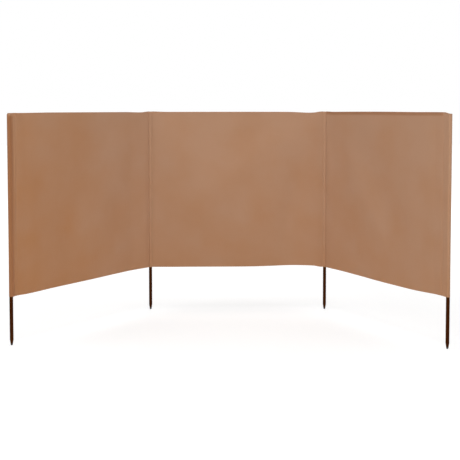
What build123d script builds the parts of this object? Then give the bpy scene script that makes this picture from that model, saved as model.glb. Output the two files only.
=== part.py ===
"""Three-bay cloth wind screen: four tube poles in sewn sleeves, wings turned toward the sheltered side."""

import os
from math import acos, atan2, cos, hypot, sin

from build123d import *

# Layout in plan. The middle bay lies along X from the left inner pole, and -Y is the sheltered side.
bay_width = 1333.0  # pole axis to pole axis
left_wing_angle = 52.3  # degrees from straight, toward the sheltered side
right_wing_angle = 60.2  # degrees from straight, toward the sheltered side

# Heights
leg_length = 326.0  # bare pole from its blunt end up to the cloth
cloth_height = 1185.0

# Cloth
cloth_thickness = 1.0
hem_height = 20.0  # folded band along the top and bottom edges
hem_layers = 3
sleeve_layers = 2

# Poles
pole_diameter = 24.0
pole_wall = 0.8
swage_length = 28.0  # lower end of the tube, drawn down to a taper
swage_end_diameter = 17.0
tip_length = 13.0  # nose of the plug that closes the drawn end
tip_end_diameter = 12.0
tip_edge_chamfer = 1.5
tip_shank_length = 18.0
tip_shank_clearance = 0.1

# Sleeves
sleeve_ease = 0.8  # room round the pole
seam_width = 10.0  # band sewn flat beside a sleeve
inner_seam_offset = 0.8  # seam of an inner sleeve, beyond its round
end_sleeve_reach = 55.0  # end pole's axis to the far edge of its seam
crown_height = 14.0  # sleeve top, pinched from round to flat and sewn shut
crown_rise = 3.0  # sleeve top above the hem
end_ear = 6.0  # pinched top of an end sleeve, beyond its round
pole_head_gap = 0.3  # pole's top to the underside of the closed crown
hinge_gap = 0.5  # wing's inner edge to the sleeve that it turns round
overrun = 5.0  # cuts run on past the faces that they open

cloth_bottom = leg_length
cloth_top = leg_length + cloth_height
crown_top = cloth_top + crown_rise
crown_base = crown_top - crown_height
pole_top = crown_base - pole_head_gap
swage_top = tip_length + swage_length
pole_radius = pole_diameter / 2
swage_end_radius = swage_end_diameter / 2
hem_thickness = hem_layers * cloth_thickness
half_band = sleeve_layers * cloth_thickness / 2
sleeve_bore_radius = pole_radius + sleeve_ease
sleeve_radius = sleeve_bore_radius + cloth_thickness
inner_seam_start = sleeve_radius + inner_seam_offset
inner_sleeve_reach = inner_seam_start + seam_width
end_seam_start = end_sleeve_reach - seam_width
wing_edge = sleeve_radius + hinge_gap

# Each bay has its own frame: its first pole at the origin, its cloth along X.
middle_bay = Location((0, 0, 0), (0, 0, 0))
left_bay = Location((0, 0, 0), (0, 0, 180 + left_wing_angle))
right_bay = Location((bay_width, 0, 0), (0, 0, -right_wing_angle))
far_pole = Location((bay_width, 0, 0), (0, 0, 180))


def pole_tube():
    """Tube with its lower end drawn down to a taper, wall kept all the way."""
    profile = Polyline(
        (swage_end_radius, tip_length),
        (pole_radius, swage_top),
        (pole_radius, pole_top),
        (pole_radius - pole_wall, pole_top),
        (pole_radius - pole_wall, swage_top),
        (swage_end_radius - pole_wall, tip_length),
        close=True,
    )
    return revolve(Plane.XZ * make_face(profile), Axis.Z)


def tip_plug():
    """Blunt nose under the drawn end, with a shank that fits in its bore."""
    shank_radius = swage_end_radius - pole_wall - tip_shank_clearance
    profile = Polyline(
        (0, 0),
        (tip_end_diameter / 2, 0),
        (swage_end_radius, tip_length),
        (shank_radius, tip_length),
        (shank_radius, tip_length + tip_shank_length),
        (0, tip_length + tip_shank_length),
        close=True,
    )
    plug = revolve(Plane.XZ * make_face(profile), Axis.Z)
    return chamfer(plug.edges().sort_by(Axis.Z)[0], tip_edge_chamfer)


def loop_face(seam_start, reach):
    """Sleeve section: round behind the pole, then two straight runs to the sewn band."""
    seam_distance = hypot(seam_start, half_band)
    leave_angle = atan2(half_band, seam_start) + acos(sleeve_radius / seam_distance)
    leave_x = sleeve_radius * cos(leave_angle)
    leave_y = sleeve_radius * sin(leave_angle)
    back = ThreePointArc((leave_x, leave_y), (-sleeve_radius, 0), (leave_x, -leave_y))
    front = Polyline(
        back @ 1,
        (seam_start, -half_band),
        (reach, -half_band),
        (reach, half_band),
        (seam_start, half_band),
        back @ 0,
    )
    return make_face([back.edge(), *front.edges()])


def bore_face(seam_start):
    """Hollow of a sleeve: round at the pole, running to an edge at the seam."""
    leave_angle = acos(sleeve_bore_radius / seam_start)
    leave_x = sleeve_bore_radius * cos(leave_angle)
    leave_y = sleeve_bore_radius * sin(leave_angle)
    back = ThreePointArc((leave_x, leave_y), (-sleeve_bore_radius, 0), (leave_x, -leave_y))
    front = Polyline(back @ 1, (seam_start, 0), back @ 0)
    return make_face([back.edge(), *front.edges()])


def crown_wedge(reach):
    """Front and back slopes that pinch a sleeve's top down to the two layers of its sewn edge."""
    slope = Polyline(
        (-sleeve_radius - cloth_thickness, crown_base),
        (sleeve_radius + cloth_thickness, crown_base),
        (half_band, crown_top),
        (-half_band, crown_top),
        close=True,
    )
    back_end = -sleeve_radius - overrun
    return extrude(Pos(back_end, 0, 0) * (Plane.YZ * make_face(slope)), reach + overrun - back_end)


def crown_ear():
    """Corner of a pinched top that stands out beyond the round of an end sleeve."""
    outline = Polyline((0, crown_base), (0, crown_top), (-sleeve_radius - end_ear, crown_top), close=True)
    return extrude(Plane.XZ * make_face(outline), half_band, both=True)


def sleeve(seam_start, reach):
    """Cloth tunnel round a pole, open below, pinched flat and sewn shut on top."""
    loop = loop_face(seam_start, reach)
    tunnel = extrude(Pos(0, 0, cloth_bottom) * loop, crown_base - cloth_bottom)
    crown = extrude(Pos(0, 0, crown_base) * loop, crown_height) & crown_wedge(reach)
    bore_start = cloth_bottom - overrun
    bore = extrude(Pos(0, 0, bore_start) * bore_face(seam_start), crown_base - bore_start)
    return tunnel + crown - bore


def panel(start, end):
    """Flat cloth between the hems, from one seam to the next."""
    outline = Polyline(
        (start, cloth_bottom + hem_height),
        (end, cloth_bottom + hem_height),
        (end, cloth_top - hem_height),
        (start, cloth_top - hem_height),
        close=True,
    )
    return extrude(Plane.XZ * make_face(outline), cloth_thickness / 2, both=True)


def hem(start, end, inside, outside):
    """Folded band along an edge, flat on the cloth's side and round on the outer side."""
    half = hem_thickness / 2
    toward = half if outside > inside else -half
    rolled = ThreePointArc((half, outside - toward), (0, outside), (-half, outside - toward))
    sides = Polyline(rolled @ 1, (-half, inside), (half, inside), rolled @ 0)
    section = make_face([rolled.edge(), *sides.edges()])
    return extrude(Pos(start, 0, 0) * (Plane.YZ * section), end - start)


def bay_cloth(side, place, start, end):
    """Panel and its two hems, in their bay's place."""
    return {
        side + "_panel": place * panel(start, end),
        side + "_top_hem": place * hem(start, end, cloth_top - hem_height, cloth_top),
        side + "_bottom_hem": place * hem(start, end, cloth_bottom + hem_height, cloth_bottom),
    }


pieces = {}
pieces.update(bay_cloth("middle", middle_bay, inner_sleeve_reach, bay_width - inner_sleeve_reach))
pieces.update(bay_cloth("left", left_bay, wing_edge, bay_width - end_sleeve_reach))
pieces.update(bay_cloth("right", right_bay, wing_edge, bay_width - end_sleeve_reach))

pole_places = {
    "left_end": left_bay * far_pole,
    "left_inner": middle_bay,
    "right_inner": middle_bay * far_pole,
    "right_end": right_bay * far_pole,
}
inner_sleeve = sleeve(inner_seam_start, inner_sleeve_reach)
end_sleeve = sleeve(end_seam_start, end_sleeve_reach) + crown_ear()
for pole_name, place in pole_places.items():
    pieces[pole_name + "_pole"] = place * pole_tube()
    pieces[pole_name + "_tip"] = place * tip_plug()
    pieces[pole_name + "_sleeve"] = place * (end_sleeve if "end" in pole_name else inner_sleeve)

os.makedirs("parts", exist_ok=True)
for piece_name, piece in pieces.items():
    export_step(piece, os.path.join("parts", piece_name + ".step"))
    print(piece_name, round(piece.volume), "mm3")
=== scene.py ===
import math

import bmesh
import bpy
from mathutils import Matrix, Vector, noise


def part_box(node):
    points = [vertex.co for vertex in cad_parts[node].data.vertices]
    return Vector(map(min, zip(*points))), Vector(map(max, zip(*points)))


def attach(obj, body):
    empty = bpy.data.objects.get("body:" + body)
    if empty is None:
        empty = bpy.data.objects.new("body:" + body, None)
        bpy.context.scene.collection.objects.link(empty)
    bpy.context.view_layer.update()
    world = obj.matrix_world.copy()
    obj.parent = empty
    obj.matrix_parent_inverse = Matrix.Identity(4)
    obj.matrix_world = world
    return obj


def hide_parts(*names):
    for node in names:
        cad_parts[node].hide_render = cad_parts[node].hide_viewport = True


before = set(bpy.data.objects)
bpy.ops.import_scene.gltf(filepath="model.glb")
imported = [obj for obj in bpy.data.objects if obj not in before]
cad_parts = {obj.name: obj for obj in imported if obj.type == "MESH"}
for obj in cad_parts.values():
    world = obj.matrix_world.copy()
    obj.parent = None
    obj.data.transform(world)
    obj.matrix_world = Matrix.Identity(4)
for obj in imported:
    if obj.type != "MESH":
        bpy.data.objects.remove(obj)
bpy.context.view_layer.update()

mm = 0.001
up = Vector((0, 0, 1))
shelteredSide = Vector((0, -1, 0))

# Each bay runs from its first pole to its second
bayPoles = {
    "middle": ("left_inner", "right_inner"),
    "left": ("left_inner", "left_end"),
    "right": ("right_inner", "right_end"),
}
bayBodies = {"middle": "centre", "left": "left_wing", "right": "right_wing"}
poleBodies = {
    "left_inner": "centre",
    "right_inner": "centre",
    "left_end": "left_wing",
    "right_end": "right_wing",
}


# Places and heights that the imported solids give
def poleAxis(pole):
    low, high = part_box(pole + "_tip")
    return Vector(((low.x + high.x) / 2, (low.y + high.y) / 2, 0))


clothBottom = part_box("middle_bottom_hem")[0].z
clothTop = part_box("middle_top_hem")[1].z
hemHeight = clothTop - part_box("middle_top_hem")[0].z
poleLow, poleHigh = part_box("left_inner_pole")
swageEnd = poleLow.z
poleTop = poleHigh.z
poleRadius = (poleHigh.x - poleLow.x) / 2
sleeveLow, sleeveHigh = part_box("left_inner_sleeve")
crownTop = sleeveHigh.z
sleeveRadius = (sleeveHigh.y - sleeveLow.y) / 2
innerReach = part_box("middle_panel")[0].x - poleAxis("left_inner").x


def makeBay(first, last):
    start = poleAxis(first)
    along = poleAxis(last) - start
    width = along.length
    along.normalize()
    across = along.cross(up)
    mirrored = across.dot(shelteredSide) < 0
    if not mirrored:
        across.negate()  # always toward the windward side
    return {"start": start, "along": along, "across": across, "width": width, "mirrored": mirrored}


bays = {side: makeBay(*poles) for side, poles in bayPoles.items()}


# Small helpers
def smooth(value):
    value = min(max(value, 0.0), 1.0)
    return value * value * (3 - 2 * value)


def stations(start, end, step):
    count = max(1, round(abs(end - start) / step))
    return [start + (end - start) * place / count for place in range(count + 1)]


def finishPiece(bm, name, material, body, nodes=()):
    mesh = bpy.data.meshes.new(name)
    bm.to_mesh(mesh)
    bm.free()
    mesh.materials.append(material)
    for polygon in mesh.polygons:
        polygon.use_smooth = True
    piece = bpy.data.objects.new(name, mesh)
    bpy.context.scene.collection.objects.link(piece)
    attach(piece, body)
    if nodes:
        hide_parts(*nodes)
    return piece


# Shader helpers
def mathNode(tree, operation, first, second=None):
    made = tree.nodes.new("ShaderNodeMath")
    made.operation = operation
    for socket, value in zip(made.inputs, (first, second)):
        if value is None:
            continue
        if isinstance(value, (int, float)):
            socket.default_value = value
        else:
            tree.links.new(value, socket)
    return made.outputs[0]


def noiseNode(tree, coordinate, scale, detail):
    made = tree.nodes.new("ShaderNodeTexNoise")
    made.inputs["Scale"].default_value = scale
    made.inputs["Detail"].default_value = detail
    tree.links.new(coordinate, made.inputs["Vector"])
    return made.outputs["Fac"]


def bumpNode(tree, height, look):
    made = tree.nodes.new("ShaderNodeBump")
    made.inputs["Strength"].default_value = look["bump"]
    made.inputs["Distance"].default_value = look["bumpDepth"]
    tree.links.new(height, made.inputs["Height"])
    return made.outputs["Normal"]


def mixColours(tree, factor, *colours):
    made = tree.nodes.new("ShaderNodeMix")
    made.data_type = "RGBA"
    tree.links.new(factor, made.inputs["Factor"])
    for label, colour in zip("AB", colours):
        if isinstance(colour, tuple):
            made.inputs[label].default_value = (*colour, 1)
        else:
            tree.links.new(colour, made.inputs[label])
    return made.outputs["Result"]


def newGroup(name, inputs, outputs):
    tree = bpy.data.node_groups.new(name, "ShaderNodeTree")
    for label, kind in inputs:
        tree.interface.new_socket(label, in_out="INPUT", socket_type=kind)
    for label, kind in outputs:
        tree.interface.new_socket(label, in_out="OUTPUT", socket_type=kind)
    return tree, tree.nodes.new("NodeGroupInput"), tree.nodes.new("NodeGroupOutput")


def useGroup(tree, group, coordinate, **values):
    made = tree.nodes.new("ShaderNodeGroup")
    made.node_tree = group
    tree.links.new(coordinate, made.inputs["Coordinate"])
    for label, value in values.items():
        made.inputs[label].default_value = value
    return made.outputs


# Shared groups
weaveLook = {
    "slubsAcross": 420.0,  # thick places of the yarn, to the metre across the threads
    "slubsAlong": 9.0,  # and to the metre along them
}


def makeWeaveGroup():
    # plain weave: warp over weft in a checker, with slubs along both threads
    tree, given, result = newGroup(
        "plainWeave",
        [("Coordinate", "NodeSocketVector"), ("Thread", "NodeSocketFloat")],
        [("Height", "NodeSocketFloat"), ("Slub", "NodeSocketFloat")],
    )
    split = tree.nodes.new("ShaderNodeSeparateXYZ")
    tree.links.new(given.outputs["Coordinate"], split.inputs[0])
    waves = []
    for axis in ("X", "Y"):
        turns = mathNode(tree, "DIVIDE", split.outputs[axis], given.outputs["Thread"])
        waves.append(mathNode(tree, "SINE", mathNode(tree, "MULTIPLY", turns, math.pi)))
    over = mathNode(tree, "GREATER_THAN", mathNode(tree, "MULTIPLY", *waves), 0.0)
    warp = mathNode(tree, "ABSOLUTE", waves[0])
    weft = mathNode(tree, "ABSOLUTE", waves[1])
    pick = tree.nodes.new("ShaderNodeMix")
    tree.links.new(over, pick.inputs["Factor"])
    tree.links.new(weft, pick.inputs["A"])
    tree.links.new(warp, pick.inputs["B"])
    tree.links.new(pick.outputs["Result"], result.inputs["Height"])
    slubs = []
    thin, long = weaveLook["slubsAcross"], weaveLook["slubsAlong"]
    for stretch in ((thin, long, 1.0), (long, thin, 1.0)):
        mapping = tree.nodes.new("ShaderNodeMapping")
        mapping.inputs["Scale"].default_value = stretch
        tree.links.new(given.outputs["Coordinate"], mapping.inputs["Vector"])
        slubs.append(noiseNode(tree, mapping.outputs[0], scale=1.0, detail=1.0))
    half = mathNode(tree, "MULTIPLY", mathNode(tree, "ADD", *slubs), 0.5)
    tree.links.new(half, result.inputs["Slub"])
    return tree


mottleLook = {"detail": 3.0, "roughness": 0.45}


def makeMottleGroup():
    # broad uneven tone, as on dyed cloth or a sprayed coat
    tree, given, result = newGroup(
        "mottle",
        [("Coordinate", "NodeSocketVector"), ("Scale", "NodeSocketFloat")],
        [("Tone", "NodeSocketFloat")],
    )
    broad = tree.nodes.new("ShaderNodeTexNoise")
    broad.inputs["Detail"].default_value = mottleLook["detail"]
    broad.inputs["Roughness"].default_value = mottleLook["roughness"]
    tree.links.new(given.outputs["Coordinate"], broad.inputs["Vector"])
    tree.links.new(given.outputs["Scale"], broad.inputs["Scale"])
    tree.links.new(broad.outputs["Fac"], result.inputs["Tone"])
    return tree


weaveGroup = makeWeaveGroup()
mottleGroup = makeMottleGroup()


# Materials
def newMaterial(name):
    material = bpy.data.materials.new(name)
    material.use_nodes = True
    tree = material.node_tree
    return material, tree, tree.nodes["Principled BSDF"]


clothLook = {
    # the two ends of the cloth's tone; the share between them is slubs and uneven dye, with painted
    # light and shade on top
    "deep": (0.371, 0.1635, 0.062),
    "paleTone": (0.411, 0.2312, 0.1375),
    "shadeColour": (0.300, 0.124, 0.049),  # painted shade colour, where the cloth's painted shade attribute is 1
    "thread": 0.9 * mm,
    "patch": 3.4,  # uneven dye, patches to the metre
    "slubShare": 0.17,
    "paleShareBase": -0.520,
    "paintedLightUp": 0.32,  # painted light: paler and greyer toward the top, where light from above falls, to the metre
    "paintedLightAlong": 0.45,  # and painted shade: darker on the left wing, which gets less light, paler toward the middle bay
    "paintedLightSpan": (-0.75, -0.05),  # between these places along X
    "roughness": 0.82,
    "specular": 0.3,
    "sheen": 0.08,
    "bump": 0.35,
    "bumpDepth": 0.25 * mm,
}


def makeCloth():
    look = clothLook
    material, tree, shader = newMaterial("tan_polyester")
    flat = tree.nodes.new("ShaderNodeUVMap")
    flat.uv_map = "cloth"
    weave = useGroup(tree, weaveGroup, flat.outputs["UV"], Thread=look["thread"])
    mottle = useGroup(tree, mottleGroup, flat.outputs["UV"], Scale=look["patch"])
    place = tree.nodes.new("ShaderNodeSeparateXYZ")
    tree.links.new(tree.nodes.new("ShaderNodeTexCoord").outputs["Object"], place.inputs[0])
    along = tree.nodes.new("ShaderNodeMapRange")
    along.interpolation_type = "SMOOTHSTEP"
    along.inputs["From Min"].default_value, along.inputs["From Max"].default_value = look["paintedLightSpan"]
    along.inputs["To Max"].default_value = look["paintedLightAlong"]
    tree.links.new(place.outputs["X"], along.inputs["Value"])
    # share of the paler tone: painted light and shade by height and along X, then slubs and uneven dye
    fade = mathNode(tree, "MULTIPLY", place.outputs["Z"], look["paintedLightUp"])
    slub = mathNode(tree, "MULTIPLY", weave["Slub"], look["slubShare"])
    for share in (look["paleShareBase"], along.outputs["Result"], slub, mottle["Tone"]):
        fade = mathNode(tree, "ADD", fade, share)
    toneAndLight = mixColours(tree, fade, look["deep"], look["paleTone"])
    paintedShade = tree.nodes.new("ShaderNodeAttribute")
    paintedShade.attribute_name = "paintedShade"
    colour = mixColours(tree, paintedShade.outputs["Fac"], toneAndLight, look["shadeColour"])
    tree.links.new(colour, shader.inputs["Base Color"])
    shader.inputs["Roughness"].default_value = look["roughness"]
    shader.inputs["Specular IOR Level"].default_value = look["specular"]
    shader.inputs["Sheen Weight"].default_value = look["sheen"]
    tree.links.new(bumpNode(tree, weave["Height"], look), shader.inputs["Normal"])
    return material


def makeMottled(name, look):
    # two tones of one colour in patches; patch and grain count to the metre
    material, tree, shader = newMaterial(name)
    place = tree.nodes.new("ShaderNodeTexCoord").outputs["Object"]
    tone = useGroup(tree, mottleGroup, place, Scale=look["patch"])["Tone"]
    tree.links.new(mixColours(tree, tone, look["dark"], look["light"]), shader.inputs["Base Color"])
    shader.inputs["Roughness"].default_value = look["roughness"]
    if "grain" in look:
        grain = noiseNode(tree, place, look["grain"], look["grainDetail"])
        tree.links.new(bumpNode(tree, grain, look), shader.inputs["Normal"])
    return material, tree, shader, tone


threadLook = {
    "dark": (0.33, 0.16, 0.080),
    "light": (0.39, 0.20, 0.108),
    "patch": 40.0,
    "roughness": 0.6,
}


def makeThread():
    return makeMottled("sewing_thread", threadLook)[0]


poleLook = {
    "dark": (0.034, 0.0058, 0.0004),
    "light": (0.053, 0.0130, 0.0008),
    "patch": 14.0,
    "grain": 900.0,  # orange peel of the sprayed coat
    "grainDetail": 2.0,
    "bump": 0.2,
    "bumpDepth": 0.2 * mm,
    "roughness": 0.55,
    "roughSpread": 0.16,  # from the dullest patch to the least dull
    "specular": 0.02,
}


def makePowderCoat():
    look = poleLook
    material, tree, shader, tone = makeMottled("brown_powder_coat", look)
    spread = mathNode(tree, "MULTIPLY", tone, look["roughSpread"])
    rough = mathNode(tree, "ADD", spread, look["roughness"] - look["roughSpread"] / 2)
    tree.links.new(rough, shader.inputs["Roughness"])
    shader.inputs["Specular IOR Level"].default_value = look["specular"]
    return material


plugLook = {
    "dark": (0.004, 0.003, 0.003),
    "light": (0.010, 0.006, 0.005),
    "patch": 60.0,
    "grain": 700.0,  # matt face of the mould
    "grainDetail": 2.0,
    "bump": 0.25,
    "bumpDepth": 0.15 * mm,
    "roughness": 0.5,
}


def makePlugPlastic():
    return makeMottled("black_plug_plastic", plugLook)[0]


clothMaterial = makeCloth()
threadMaterial = makeThread()
poleMaterial = makePowderCoat()
plugMaterial = makePlugPlastic()
print("materials:", len(bpy.data.node_groups), "shared groups")


# Cloth sheets: a flat grid in cut sizes, then every point is taken to its place
def layPath(points):
    # cut length along a folded run of points
    walked = [0.0]
    for before, after in zip(points, points[1:]):
        walked.append(walked[-1] + math.dist(before, after))
    return walked


def layGrid(columns, rows, place, shadeShare, turnOver):
    # columns and rows are cut lengths; place(column, row) says where a point lies,
    # the shade function how much painted shade it gets, and turnOver makes the cloth face the other way
    bm = bmesh.new()
    uvLayer = bm.loops.layers.uv.new("cloth")
    shadeLayer = bm.verts.layers.float.new("paintedShade")
    across, high = len(columns) - 1, len(rows) - 1
    bmesh.ops.create_grid(bm, x_segments=across, y_segments=high, size=0.5)
    cells = []
    for vert in bm.verts:
        cells.append((round((vert.co.x + 0.5) * across), round((vert.co.y + 0.5) * high)))
    bm.verts.index_update()
    for face in bm.faces:
        for loop in face.loops:
            column, row = cells[loop.vert.index]
            loop[uvLayer].uv = (columns[column], rows[row])
    for vert, (column, row) in zip(bm.verts, cells):
        vert.co = place(column, row)
        vert[shadeLayer] = shadeShare(column, row)
    if turnOver:
        bmesh.ops.reverse_faces(bm, faces=bm.faces)
    return bm


clothLayer = 0.5 * mm  # a sleeve's cloth, inside the round of its solid
endReach = 55 * mm  # end pole's axis to the far edge of its sewn band

panelShape = {
    "step": 9 * mm,
    "layer": 0.45 * mm,  # one thickness of cloth in a hem
    "hemStep": 4 * mm,
    "hemRows": 5,
    "tuck": 12 * mm,  # raw edge turned inside the hem
    "sideFold": 12 * mm,  # wing's inner edge, turned to the back
    "sideLayer": 1.6 * mm,
    "beside": 1 * mm,  # from a fold to the row or column close to it
    "seam": 10 * mm,
    "seamInset": 2 * mm,  # panel's edge, short of the fold inside a sleeve's seam
    "seamForward": 1 * mm,  # inner seams stand toward the sheltered side of the pole
    "endForward": {"left": 5 * mm, "right": 7 * mm},  # and so do the seams of the end sleeves
    "seamFade": 80 * mm,
    "hingeLap": 0.3 * mm,  # wing's inner edge, sewn into the cloth of the inner sleeve
    "middleBelly": 24 * mm,  # slack of the cloth, toward the windward side
    "wingBelly": 13 * mm,
    "billow": 7 * mm,  # broad unevenness of the slack cloth
    "billowNoise": (2.3, 2.0, 0.4),  # waves across and up the cloth, and the layer of noise
    "ripple": 1.6 * mm,
    "rippleNoise": (6.1, 5.0, 2.7),
    "foldFade": 0.4,  # soft ends of a fold, as a share of the cloth
    "grip": 0.14,  # share of the width that a seam holds flat
    "lift": 3.5 * mm,  # top edge drawn up where an inner pole carries it
    "liftReach": 60 * mm,
    "cornerReach": 320 * mm,  # a lifted or lowered corner, along the edge
    "cornerShare": 0.25,  # and as a share of the cloth's height
    "pucker": 0.5 * mm,  # small waves along the stitching of a hem
    "puckerStep": 22 * mm,
    "puckerReach": 18 * mm,
    "bandTilt": 0.12,  # sewn band of an end sleeve, turned a little toward its pole
    "roll": 5 * mm,  # soft roll of the panel beside that band, toward the sheltered side
    "rollSpan": (150 * mm, 320 * mm),
    "bowSpan": (200 * mm, 450 * mm),  # wing beside the inner sleeve, bowed to the windward side
    "kick": 3 * mm,  # lower edge, toward the sheltered side
    "kickReach": 70 * mm,
    "freeEnd": 0.05,  # share of the width over which a hitch or dip dies out beside a seam
    "hitchFall": 2.2,  # cloth's height, in reaches of a hitch
    "hemRollBelow": 3 * mm,  # a tipped hem bends so far below its fold
    "hemRollRise": 8 * mm,
    "hemRollEnds": (90 * mm, 25 * mm),  # and lies straight at its inner and outer end
    "hemShadeBelow": 1 * mm,
}

# Soft folds are shares of the free cloth: start, end, half width and depth toward the windward side.
# A hitch draws the lower edge up or, below zero, lets it down, and a dip lets the top edge hang lower:
# place, half width and amount. endRise lifts the far end at its lower and its upper corner. hemRoll is
# in degrees, and the hem's tone value is painted shade on the top hem, where it is tipped away from the
# light.
bayShapes = {
    "middle": {
        "folds": [
            ((0.10, 0.30), (0.80, 0.86), 0.09, -7 * mm),
            ((0.78, 0.02), (0.84, 0.62), 0.07, 9 * mm),
            ((0.30, 0.10), (0.55, 0.42), 0.10, 5 * mm),
        ],
        "hitch": (0.86, 0.18, 12 * mm),
        "dip": (0.93, 0.08, 6 * mm),
        "endRise": (0, 0),
        "topSag": -1.0 * mm,
        "hemRoll": 0,
        "hemTone": 0,
        "seed": 3.7,
    },
    "left": {
        "folds": [
            ((0.55, 0.10), (0.92, 0.75), 0.10, 7 * mm),
            ((0.10, 0.95), (0.45, 0.30), 0.09, -6 * mm),
        ],
        "hitch": (0.70, 0.30, -6 * mm),
        "dip": (0.06, 0.08, 3 * mm),
        "endRise": (-7 * mm, -2.5 * mm),
        "topSag": 0.2 * mm,
        "bow": 11 * mm,
        "hemRoll": 0,
        "hemTone": 0,
        "seed": 11.3,
    },
    "right": {
        "folds": [
            ((0.25, 0.85), (0.70, 0.25), 0.10, 7 * mm),
            ((0.10, 0.95), (0.45, 0.30), 0.09, -6 * mm),
        ],
        "hitch": (0.55, 0.28, -5 * mm),
        "dip": (0.06, 0.08, 0),
        "endRise": (9 * mm, 3 * mm),
        "topSag": -4.0 * mm,
        "bow": 4 * mm,
        "hemRoll": 4,
        # painted shade on the tipped top hem
        "hemTone": 0.62,
        "seed": 23.9,
    },
}
for side, lie in bayShapes.items():
    bay = bays[side]
    bay.update(lie)
    bay["isWing"] = side != "middle"
    if bay["isWing"]:
        bay["low"] = sleeveRadius - clothLayer - panelShape["hingeLap"]
        bay["high"] = bay["width"] - endReach
        bay["belly"] = panelShape["wingBelly"]
        bay["forward"] = panelShape["endForward"][side]
    else:
        bay["low"] = innerReach
        bay["high"] = bay["width"] - innerReach
        bay["belly"] = panelShape["middleBelly"]
        bay["forward"] = panelShape["seamForward"]


# On the cloth, u runs along a bay from its first pole and z up from the ground
def shareAcross(bay, u):
    return (u - bay["low"]) / (bay["high"] - bay["low"])


def shareUp(z):
    return (z - clothBottom) / (clothTop - clothBottom)


def freeOfSeams(bay, u, reach):
    # nothing at both ends of the cloth, all of it beyond a share of the width
    share = shareAcross(bay, u)
    return smooth(min(share, 1 - share) / reach)


def sleeveDistance(bay, u):
    # to the nearest sleeve of the cloth's own body, which a wing has at its far end only
    nearest = bay["high"] - u if bay["isWing"] else min(u - bay["low"], bay["high"] - u)
    return max(nearest, 0)


def foldDepth(across, height, fold):
    start, end, halfWidth, depth = fold
    fade = panelShape["foldFade"]
    run = Vector(end) - Vector(start)
    length = run.length
    fromStart = Vector((across, height)) - Vector(start)
    forward = fromStart.dot(run) / length
    aside = (fromStart.x * run.y - fromStart.y * run.x) / length
    shown = smooth(forward / fade + 0.5) * smooth((length - forward) / fade + 0.5)
    return depth * shown * math.exp(-((aside / halfWidth) ** 2))


def endRoll(beyond):
    # panel beside an end sleeve, by the distance from the edge of the sewn band, below zero inside it
    rise, fall = panelShape["rollSpan"]
    if beyond < 0:
        return panelShape["bandTilt"] * beyond
    rising = math.sin(min(beyond / rise, 1) * math.pi / 2)
    return panelShape["roll"] * rising * (1 - smooth((beyond - rise) / fall))


def innerBow(bay, beyond):
    # wing beside an inner sleeve, by the distance from the wing's inner edge
    rise, fall = panelShape["bowSpan"]
    return bay["bow"] * smooth(beyond / rise) * (1 - smooth((beyond - rise) / fall))


def cornerRise(bay, z):
    # how far the cloth's far end lies above or below its cut height
    height, share = shareUp(z), panelShape["cornerShare"]
    low, high = bay["endRise"]
    return low * smooth(1 - height / share) + high * smooth(1 - (1 - height) / share)


def swell(across, lie):
    # a hitch or a dip, along its edge
    place, halfWidth, amount = lie
    return amount * math.exp(-(((across - place) / halfWidth) ** 2))


def slackDepth(bay, u, z):
    # belly, broad unevenness, soft folds and the puckers beside a hem's stitching
    shape, seed = panelShape, bay["seed"]
    across, height = shareAcross(bay, u), shareUp(z)
    depth = bay["belly"] * math.sin(math.pi * across) * (0.5 + 0.5 * math.sin(math.pi * height))
    wide, high, layer = shape["billowNoise"]
    depth += shape["billow"] * noise.noise(Vector((across * wide + seed, height * high, layer)))
    wide, high, layer = shape["rippleNoise"]
    depth += shape["ripple"] * noise.noise(Vector((across * wide, height * high + seed, layer)))
    depth += sum(foldDepth(across, height, fold) for fold in bay["folds"])
    edge = min(z - clothBottom, clothTop - z)
    gather = math.exp(-(((edge - hemHeight) / shape["puckerReach"]) ** 2))
    puckers = noise.noise(Vector((u / shape["puckerStep"], seed, height)))
    return depth + shape["pucker"] * gather * puckers


def standOut(bay, u, z):
    # how far the cloth stands out to the windward side
    shape = panelShape
    held = freeOfSeams(bay, u, shape["grip"])
    out = slackDepth(bay, u, z) * held
    out -= bay["forward"] * (1 - smooth(sleeveDistance(bay, u) / shape["seamFade"]))
    if bay["isWing"]:
        out += innerBow(bay, u - bay["low"]) - endRoll(bay["high"] - u)
    kick = max(1 - (z - clothBottom) / shape["kickReach"], 0) ** 2
    return out - shape["kick"] * kick * held


def edgeRise(bay, u, z):
    # how far the cloth's edges rise or sag
    shape = panelShape
    across, height = shareAcross(bay, u), shareUp(z)
    upper = smooth(height * 2 - 1)
    free = freeOfSeams(bay, u, shape["freeEnd"])
    carriers = [u - bay["low"]] if bay["isWing"] else [u - bay["low"], bay["high"] - u]
    carried = sum(math.exp(-((away / shape["liftReach"]) ** 2)) for away in carriers)
    sag = bay["topSag"] * max(1 - (2 * across - 1) ** 2, 0)
    rise = (shape["lift"] * carried - sag) * upper
    rise += swell(across, bay["hitch"]) * smooth(1 - height * shape["hitchFall"]) * free
    rise -= swell(across, bay["dip"]) * upper * free
    return rise + cornerRise(bay, z) * smooth(1 - sleeveDistance(bay, u) / shape["cornerReach"])


def clothPoint(bay, u, z, depth):
    out, rise = standOut(bay, u, z), edgeRise(bay, u, z)
    above = z - (clothTop - hemHeight - panelShape["hemRollBelow"])
    if bay["hemRoll"] and above > 0:
        inner, outer = panelShape["hemRollEnds"]
        ends = smooth(min((u - bay["low"]) / inner, (bay["high"] - u) / outer))
        tip = math.radians(bay["hemRoll"]) * ends * smooth(above / panelShape["hemRollRise"])
        out -= above * math.sin(tip)
        z -= above * (1 - math.cos(tip))
    return bay["start"] + bay["along"] * u + bay["across"] * (depth + out) + up * (z + rise)


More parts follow.
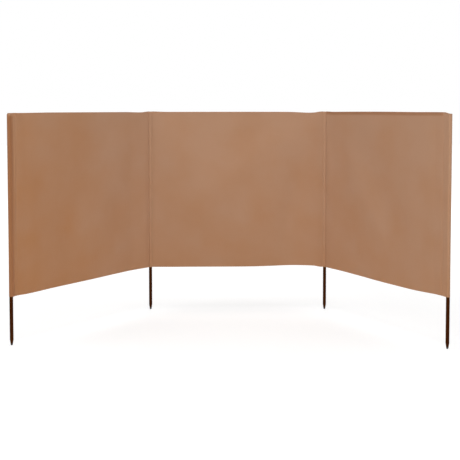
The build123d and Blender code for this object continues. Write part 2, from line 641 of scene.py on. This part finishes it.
def hemRun(edge, inward):
    # raw edge, tucked run, fold, back run, fold at the cloth's edge
    layer, tuck = panelShape["layer"], panelShape["tuck"]
    near, far = 0.3 * layer, 0.7 * layer  # points that round the outer fold
    steps = [row * panelShape["hemStep"] for row in range(panelShape["hemRows"])]
    back = [(hemHeight - 2 * layer - step, layer) for step in steps]
    run = [(hemHeight - tuck, 0), (hemHeight - tuck / 2, 0), (hemHeight - layer, 0)]
    run += [(hemHeight, layer / 2), *back, (layer, layer), (near, far), (0, 0), (near, -far)]
    return [(edge + inward * height, depth) for height, depth in run]


def panelRows():
    # a row close to each fold keeps its roundness off the flat cloth beside it
    layer, beside = panelShape["layer"], panelShape["beside"]
    heights = stations(clothBottom + layer, clothTop - layer, panelShape["step"])
    heights = [heights[0], heights[0] + beside, *heights[1:-1], heights[-1] - beside, heights[-1]]
    return hemRun(clothBottom, 1) + [(z, -layer) for z in heights] + hemRun(clothTop, -1)[::-1]


def panelColumns(bay):
    shape = panelShape
    inset = shape["seamInset"] - shape["seam"]
    start = bay["low"] if bay["isWing"] else bay["low"] + inset
    front = [(u, 0.0) for u in stations(start, bay["high"] - inset, shape["step"])]
    if not bay["isWing"]:
        return front
    low, fold, layer = bay["low"], shape["sideFold"], shape["sideLayer"]
    close = layer + shape["beside"]
    back = [(low + u, layer) for u in (fold, fold / 2, close, layer)]
    turn = [(low, layer / 2), (low + layer, 0.0), (low + close, 0.0)]
    return back + turn + front[1:]


def makePanel(side):
    bay = bays[side]
    columns = panelColumns(bay)
    rows = panelRows()
    hemStart = clothTop - hemHeight - panelShape["hemShadeBelow"]

    def place(column, row):
        u, sideDepth = columns[column]
        z, hemDepth = rows[row]
        return clothPoint(bay, u, z, sideDepth + hemDepth)

    def shadeShare(column, row):
        # painted shade on the top hem
        return bay["hemTone"] if rows[row][0] > hemStart else 0.0

    cutColumns, cutRows = layPath(columns), layPath(rows)
    bm = layGrid(cutColumns, cutRows, place, shadeShare, bay["mirrored"])
    nodes = [side + "_panel", side + "_top_hem", side + "_bottom_hem"]
    piece = finishPiece(bm, side + "_cloth", clothMaterial, bayBodies[side], nodes)
    return piece, (cutColumns[-1], cutRows[-1])


panels = {}
for side in bayPoles:
    panels[side] = makePanel(side)
    print("panel:", side, [round(length, 3) for length in panels[side][1]])


# Rows of stitches are laid out with the cloth that they hold
stitchShape = {
    "pitch": 4 * mm,
    "length": 0.78,  # share of the pitch that shows
    "thick": 0.7 * mm,
    "proud": 0.12 * mm,
    "inset": 2.2 * mm,  # seam's edge to its row of stitches
    "hemInset": 3 * mm,  # inner edge of a hem to its row of stitches
    "crownInset": 4 * mm,  # pinched top to its row of stitches
    "ends": 3 * mm,  # a row stops so far short of the cloth's edge
    "shortest": 0.5 * mm,
}

# Sleeves: a strip of cloth looped round a pole, both edges sewn over the panel's edge
sleeveShape = {
    "innerSeamStart": 14.6 * mm,
    "seamDepth": 1.2 * mm,
    "seamStep": 3.4 * mm,
    "runStep": 4 * mm,
    "turnStep": 12,  # degrees
    "turnUp": 14 * mm,  # raw lower edge, turned inside
    "turnUpDepth": 0.35 * mm,
    "turnUpFold": 0.5 * mm,
    "crown": 14 * mm,  # pinched top
    "crownStep": 1.75 * mm,
    "pinchPower": 0.8,
    "step": 14 * mm,
    "slackStart": -2 * mm,  # slack cloth between the pole's middle and the seam
    "slackRise": 12 * mm,
    "slackFall": 8 * mm,
    "wave": (1.9, 14 * mm),  # waves to the metre of height, and their width toward the seam
    "crease": (0.7, 6.5 * mm),
    "creaseShare": 0.8,
    "shadeEnd": 37 * mm,  # painted shade ends so far from the pole
    "shadeFade": 34 * mm,
    "shadeTop": 8 * mm,  # and it begins to fade so far below the pinched top
    "shadeTopFade": 10 * mm,
}
crownBase = crownTop - sleeveShape["crown"]

# How each sleeve lies: its bay and whether it is at the bay's first pole, the ear beyond the round,
# the drop of the top at the seam and at the outer corner, the slack, how far toward the sheltered side
# the top is sewn shut, and how much painted shade it gets
snugSleeve = {"ear": 0, "seamDrop": 0, "cornerDrop": 0, "ruck": 0, "sewnForward": 9 * mm, "shadeShare": 0}
sleeveSet = {
    "left_inner": {"side": "middle", "atStart": True, **snugSleeve},
    "right_inner": {"side": "middle", "atStart": False, **snugSleeve},
    "left_end": {
        "side": "left",
        "atStart": False,
        "ear": 3 * mm,
        "seamDrop": 2.5 * mm,
        "cornerDrop": 3.5 * mm,
        "ruck": 3 * mm,
        "sewnForward": 6 * mm,
        # painted shade over the round, which faces away from the light
        "shadeShare": 1.0,
    },
    "right_end": {
        "side": "right",
        "atStart": False,
        "ear": 6 * mm,
        "seamDrop": 3 * mm,
        "cornerDrop": 13 * mm,
        "ruck": 1.8 * mm,
        "sewnForward": 5 * mm,
        "shadeShare": 0,
    },
}


def loopPath(seamStart, reach, forward, tilt):
    # section of a sleeve: seam, straight run, round, straight run, seam
    shape = sleeveShape
    radius = sleeveRadius - clothLayer
    sides = []
    for side in (-1, 1):
        edge = side * shape["seamDepth"] - forward
        knee = Vector((seamStart, edge + tilt * (reach - seamStart)))
        leave = side * math.acos(radius / knee.length) + math.atan2(knee.y, knee.x)
        touch = Vector((radius * math.cos(leave), radius * math.sin(leave)))
        seamPlaces = stations(reach, seamStart, shape["seamStep"])
        run = [Vector((x, edge + tilt * (reach - x))) for x in seamPlaces]
        shares = stations(0.0, 1.0, shape["runStep"] / max((touch - knee).length, shape["runStep"]))
        run += [knee.lerp(touch, share) for share in shares[1:]]
        sides.append((run, leave))
    (front, frontLeave), (back, backLeave) = sides
    turn = stations(frontLeave, backLeave - 2 * math.pi, math.radians(shape["turnStep"]))
    bend = [Vector((math.cos(angle), math.sin(angle))) * radius for angle in turn[1:-1]]
    return front + bend + back[::-1]


def sleeveRows():
    # heights from the raw edge up, and how far each lies turned inside
    shape = sleeveShape
    fold = shape["turnUpFold"]
    turnUp = [(clothBottom + height, 1.0) for height in (shape["turnUp"], shape["turnUp"] / 2, fold)]
    wall = [(z, 0.0) for z in stations(clothBottom + fold, crownBase, shape["step"])]
    crown = [(z, 0.0) for z in stations(crownBase, crownTop, shape["crownStep"])[1:]]
    return turnUp + [(clothBottom, 0.5)] + wall + crown


def planSleeve(name):
    plan = dict(sleeveSet[name])
    bay = bays[plan["side"]]
    reach = endReach if bay["isWing"] else innerReach
    seamStart = reach - panelShape["seam"] if bay["isWing"] else sleeveShape["innerSeamStart"]
    tilt = panelShape["bandTilt"] if bay["isWing"] else 0
    axis = poleAxis(name)
    plan["bay"] = bay
    plan["reach"] = reach
    plan["seamStart"] = seamStart
    plan["path"] = loopPath(seamStart, reach, bay["forward"], tilt)
    plan["axis"] = axis
    plan["toPanel"] = bay["along"] if plan["atStart"] else -bay["along"]
    plan["seed"] = axis.x * 7 + axis.y * 3  # every sleeve has its own slack
    return plan


def sleeveSlack(plan, x, z, side):
    # loose cloth between pole and seam; front and back wave differently
    shape = sleeveShape
    loose = smooth((x - shape["slackStart"]) / shape["slackRise"])
    loose *= smooth((plan["seamStart"] - x) / shape["slackFall"])
    waves, width = shape["wave"]
    wave = noise.noise(Vector((z * waves, x / width, plan["seed"] + side)))
    waves, width = shape["crease"]
    crease = noise.noise(Vector((z * waves, x / width, plan["seed"] - side)))
    return plan["ruck"] * loose * (wave + shape["creaseShare"] * crease)


def sleevePoint(plan, column, z, inside):
    # a point of the section at a height, so far inside the cloth or, below zero, outside it
    path, bay, seamStart = plan["path"], plan["bay"], plan["seamStart"]
    point = path[column].copy()
    step = path[min(column + 1, len(path) - 1)] - path[max(column - 1, 0)]
    inward = Vector((step.y, -step.x)).normalized()
    rising = smooth((z - crownBase) / (crownTop - crownBase))
    pinch = rising ** sleeveShape["pinchPower"]
    side = math.copysign(1, point.y + bay["forward"])
    point.y += side * sleeveSlack(plan, point.x, z, side) * (1 - pinch)
    outer = smooth((seamStart - point.x) / (seamStart + sleeveRadius))
    drop = plan["seamDrop"] + (plan["cornerDrop"] - plan["seamDrop"]) * outer
    if point.x < 0:
        point.x *= 1 + pinch * plan["ear"] / sleeveRadius
    toSeam = smooth(point.x / seamStart)
    sewn = side * clothLayer - bay["forward"] * toSeam - plan["sewnForward"] * (1 - toSeam)
    point.y += (sewn - point.y) * pinch
    point += inward * inside
    height = z + cornerRise(bay, z) - drop * rising
    return plan["axis"] + plan["toPanel"] * point.x + bay["across"] * point.y + up * height


def sleeveShade(plan, column, z):
    # painted shade near the pole, fading out toward the pinched top
    shape = sleeveShape
    near = smooth((shape["shadeEnd"] - plan["path"][column].x) / shape["shadeFade"])
    crowned = smooth((z - crownBase + shape["shadeTop"]) / shape["shadeTopFade"])
    return plan["shadeShare"] * near * (1 - crowned)


def sleeveLines(plan):
    # two rows of stitches along the seam on both faces, one round the turned edge, one along the top
    sewing, path = stitchShape, plan["path"]
    outside = -sewing["proud"]
    seamRows = stations(clothBottom + sewing["ends"], crownTop - sewing["ends"], sewing["pitch"])
    turnedEdge = clothBottom + sleeveShape["turnUp"]
    lines = []
    for x in (plan["reach"] - sewing["inset"], plan["seamStart"] + sewing["inset"]):
        nearest = sorted(range(len(path)), key=lambda column: abs(path[column].x - x))
        for column in nearest[:2]:  # one on the front run of the section, one on the back
            lines.append([sleevePoint(plan, column, z, outside) for z in seamRows])
    for z in (turnedEdge - sewing["hemInset"], crownTop - sewing["crownInset"]):
        lines.append([sleevePoint(plan, column, z, outside) for column in range(len(path))])
    return lines


def makeSleeve(name):
    plan = planSleeve(name)
    rows = [(z, turned * sleeveShape["turnUpDepth"]) for z, turned in sleeveRows()]

    def place(column, row):
        return sleevePoint(plan, column, *rows[row])

    def shadeShare(column, row):
        return sleeveShade(plan, column, rows[row][0])

    cutColumns, cutRows = layPath(plan["path"]), layPath(rows)
    turnOver = plan["atStart"] != plan["bay"]["mirrored"]
    bm = layGrid(cutColumns, cutRows, place, shadeShare, turnOver)
    body = poleBodies[name]
    piece = finishPiece(bm, name + "_sleeve_cloth", clothMaterial, body, [name + "_sleeve"])
    return piece, (cutColumns[-1], cutRows[-1]), sleeveLines(plan)


sleeves = {name: makeSleeve(name) for name in sleeveSet}
print("sleeves:", len(sleeves))


# Stitching: every stitch is a small spindle of thread, joined to one piece a body
def makeSpindle():
    bm = bmesh.new()
    bmesh.ops.create_icosphere(bm, subdivisions=1, radius=1.0)
    mesh = bpy.data.meshes.new("spindle")
    bm.to_mesh(mesh)
    bm.free()
    return mesh


spindle = makeSpindle()


def sewLine(bm, points):
    half = stitchShape["thick"] / 2
    for before, after in zip(points, points[1:]):
        run = after - before
        if run.length < stitchShape["shortest"]:
            continue
        turn = run.to_track_quat("X", "Z").to_matrix().to_4x4()
        size = Matrix.Diagonal((run.length * stitchShape["length"] / 2, half, half, 1))
        stitch = spindle.copy()
        stitch.transform(Matrix.Translation((before + after) / 2) @ turn @ size)
        bm.from_mesh(stitch)
        bpy.data.meshes.remove(stitch)


def panelLines(side):
    bay, sewing = bays[side], stitchShape
    layer = panelShape["layer"] + sewing["proud"]
    ends, fromFold = sewing["ends"], hemHeight - sewing["hemInset"]
    along = stations(bay["low"] + ends, bay["high"] - ends, sewing["pitch"])
    lines = []
    for z in (clothBottom + fromFold, clothTop - fromFold):
        for depth in (-layer, layer):
            lines.append([clothPoint(bay, u, z, depth) for u in along])
    if bay["isWing"]:  # inner edge of a wing, turned to the back and sewn down
        u = bay["low"] + panelShape["sideFold"] - sewing["inset"]
        upward = stations(clothBottom + ends, clothTop - ends, sewing["pitch"])
        for depth in (-layer, panelShape["sideLayer"] + layer):
            lines.append([clothPoint(bay, u, z, depth) for z in upward])
    return lines


for side, body in bayBodies.items():
    bm = bmesh.new()
    lines = panelLines(side)
    for name, (piece, flat, seamLines) in sleeves.items():
        if poleBodies[name] == body:
            lines += seamLines
    for line in lines:
        sewLine(bm, line)
    count = len(bm.faces) // len(spindle.polygons)
    finishPiece(bm, body + "_stitching", threadMaterial, body)
    print("stitching:", body, count, "stitches")


# Poles: sprayed steel tube drawn to a taper, with a moulded plug in its end
poleShape = {
    "sides": 40,
    "step": 120 * mm,
    "topChamfer": 0.6 * mm,
    "swage": 28 * mm,  # lower end, drawn to a taper
    "swageEndRadius": 8.5 * mm,
    "swagePower": 0.9,
    "swageStep": 0.125,  # share of the swage
    "lip": 0.4 * mm,  # ring close to the lower edge
    "plugEndRadius": 6 * mm,
    "plugRound": 2 * mm,
    "plugTurn": (-90, 10, 20),  # degrees: start, end and step of the round
    "collar": 0.3 * mm,  # step at the plug's top
    "collarHeights": (1 * mm, 0.6 * mm),  # of its lower and upper edge, below the tube
    "merge": 0.01 * mm,
}


def spinProfile(points, axis):
    bm = bmesh.new()
    verts = [bm.verts.new((axis.x + radius, axis.y, z)) for radius, z in points]
    edges = [bm.edges.new(pair) for pair in zip(verts, verts[1:])]
    bmesh.ops.spin(
        bm,
        geom=verts + edges,
        cent=axis,
        axis=up,
        angle=2 * math.pi,
        steps=poleShape["sides"],
        use_merge=True,
    )
    bmesh.ops.remove_doubles(bm, verts=bm.verts, dist=poleShape["merge"])
    bmesh.ops.recalc_face_normals(bm, faces=bm.faces)
    return bm


def tubeProfile():
    shape = poleShape
    end = shape["swageEndRadius"]
    swageTop = swageEnd + shape["swage"]
    profile = [(0, swageEnd), (end - shape["lip"], swageEnd)]
    for share in stations(0.0, 1.0, shape["swageStep"]):
        radius = poleRadius + (end - poleRadius) * smooth(1 - share) ** shape["swagePower"]
        profile.append((radius, swageEnd + shape["swage"] * share))
    shaft = stations(swageTop, poleTop - shape["topChamfer"], shape["step"])
    profile += [(poleRadius, z) for z in shaft[1:]]
    return profile + [(poleRadius - shape["topChamfer"], poleTop), (0, poleTop)]


def plugProfile():
    shape = poleShape
    end, corner = shape["swageEndRadius"], shape["plugRound"]
    inner = shape["plugEndRadius"] - corner
    profile = [(0, 0), (inner, 0)]
    for angle in stations(*shape["plugTurn"])[1:]:
        turn = math.radians(angle)
        profile.append((inner + corner * math.cos(turn), corner + corner * math.sin(turn)))
    lower, upper = shape["collarHeights"]
    profile += [(end - shape["collar"], swageEnd - lower), (end, swageEnd - upper)]
    return profile + [(end, swageEnd), (0, swageEnd)]


for name, body in poleBodies.items():
    axis = poleAxis(name)
    tube = spinProfile(tubeProfile(), axis)
    finishPiece(tube, name + "_tube", poleMaterial, body, [name + "_pole"])
    plug = spinProfile(plugProfile(), axis)
    finishPiece(plug, name + "_plug", plugMaterial, body, [name + "_tip"])
print("poles:", len(poleBodies), "tubes, each with its plug")

for side, (piece, flat) in panels.items():
    tubes = [name + "_tube" for name in bayPoles[side]]


# Studio
studio = {
    "floorSize": 60.0,
    "floorCells": 8,
    "floorGlow": 0.66,  # white that the floor shows by itself, near the object
    "floorWhite": 0.42,  # and its share that takes light and shadow
    "floorFade": (2.0, 5.0),  # metres from the object over which it runs to full white
    "floorBounce": 0.88,  # its white for the light that it throws back onto the object
    "ambient": 0.15,
    "aim": Vector((0.6, -0.4, 0.9)),
    "lampSize": 4.5,
    "lamps": [  # name, degrees round from the camera's side, degrees up, metres away, watts
        ("overhead", 0, 85, 9, 265),
        ("front", 0, 7, 9, 399),
        ("sideLeft", -74, 42, 9, 239),
        ("sideRight", 74, 42, 9, 171),
        ("back", 180, 30, 9, 240),
    ],
    "camera": Vector((0.580, -6.866, 1.540)),
    "pitch": 3.0,  # degrees below level
    "yaw": -0.238,
    "lens": 70.72,
    "shift": -0.1621,  # keeps the poles nearly upright in the picture
}


def showWhere(tree, unseen, seen, surface):
    # one shader for the light that falls on the object, another for what the camera and reflections see
    rays = tree.nodes.new("ShaderNodeLightPath").outputs
    share = mathNode(tree, "MAXIMUM", rays["Is Camera Ray"], rays["Is Glossy Ray"])
    share = mathNode(tree, "MAXIMUM", share, rays["Is Transmission Ray"])
    pick = tree.nodes.new("ShaderNodeMixShader")
    tree.links.new(share, pick.inputs["Fac"])
    tree.links.new(unseen.outputs[0], pick.inputs[1])
    tree.links.new(seen.outputs[0], pick.inputs[2])
    tree.links.new(pick.outputs[0], surface)


def makeWhite(tree, kind, level=1.0):
    made = tree.nodes.new(kind)
    made.inputs["Color"].default_value = (level, level, level, 1)
    return made


def makeFloor():
    bm = bmesh.new()
    cells = studio["floorCells"]
    bmesh.ops.create_grid(bm, x_segments=cells, y_segments=cells, size=studio["floorSize"] / 2)
    mesh = bpy.data.meshes.new("floor")
    bm.to_mesh(mesh)
    bm.free()
    material, tree, shader = newMaterial("pale_floor")
    tree.nodes.remove(shader)
    white = makeWhite(tree, "ShaderNodeBsdfDiffuse", studio["floorWhite"])
    glow = tree.nodes.new("ShaderNodeEmission")
    apart = tree.nodes.new("ShaderNodeVectorMath")
    apart.operation = "DISTANCE"
    apart.inputs[1].default_value = studio["aim"] * Vector((1, 1, 0))
    tree.links.new(tree.nodes.new("ShaderNodeTexCoord").outputs["Object"], apart.inputs[0])
    rise = tree.nodes.new("ShaderNodeMapRange")
    rise.inputs["From Min"].default_value, rise.inputs["From Max"].default_value = studio["floorFade"]
    rise.inputs["To Min"].default_value = studio["floorGlow"]
    tree.links.new(apart.outputs["Value"], rise.inputs["Value"])
    tree.links.new(rise.outputs[0], glow.inputs["Strength"])
    bright = tree.nodes.new("ShaderNodeAddShader")
    tree.links.new(white.outputs[0], bright.inputs[0])
    tree.links.new(glow.outputs[0], bright.inputs[1])
    plain = makeWhite(tree, "ShaderNodeBsdfDiffuse", studio["floorBounce"])
    showWhere(tree, plain, bright, tree.nodes["Material Output"].inputs["Surface"])
    mesh.materials.append(material)
    floor = bpy.data.objects.new("floor", mesh)
    bpy.context.scene.collection.objects.link(floor)


def makeWorld():
    world = bpy.data.worlds.new("studio")
    world.use_nodes = True
    tree = world.node_tree
    tree.nodes.clear()
    lit = makeWhite(tree, "ShaderNodeBackground")
    lit.inputs["Strength"].default_value = studio["ambient"]
    white = makeWhite(tree, "ShaderNodeBackground")
    output = tree.nodes.new("ShaderNodeOutputWorld")
    showWhere(tree, lit, white, output.inputs["Surface"])
    bpy.context.scene.world = world


def addLamp(name, azimuth, elevation, distance, power):
    turn, rise = math.radians(azimuth), math.radians(elevation)
    level = Vector((math.sin(turn), -math.cos(turn), 0)) * math.cos(rise)
    place = studio["aim"] + (level + up * math.sin(rise)) * distance
    data = bpy.data.lights.new(name, "AREA")
    data.size = studio["lampSize"]
    data.energy = power
    lamp = bpy.data.objects.new(name, data)
    lamp.location = place
    lamp.rotation_euler = (studio["aim"] - place).to_track_quat("-Z", "Y").to_euler()
    bpy.context.scene.collection.objects.link(lamp)


makeFloor()
makeWorld()
for lampLine in studio["lamps"]:
    addLamp(*lampLine)
camera = bpy.data.objects.new("camera", bpy.data.cameras.new("camera"))
camera.location = studio["camera"]
camera.rotation_euler = (math.radians(90 - studio["pitch"]), 0, math.radians(studio["yaw"]))
camera.data.lens = studio["lens"]
camera.data.shift_y = studio["shift"]
bpy.context.scene.collection.objects.link(camera)
bpy.context.scene.camera = camera
bpy.context.scene.view_settings.view_transform = "Standard"
print("studio: floor, world, lamps, camera")
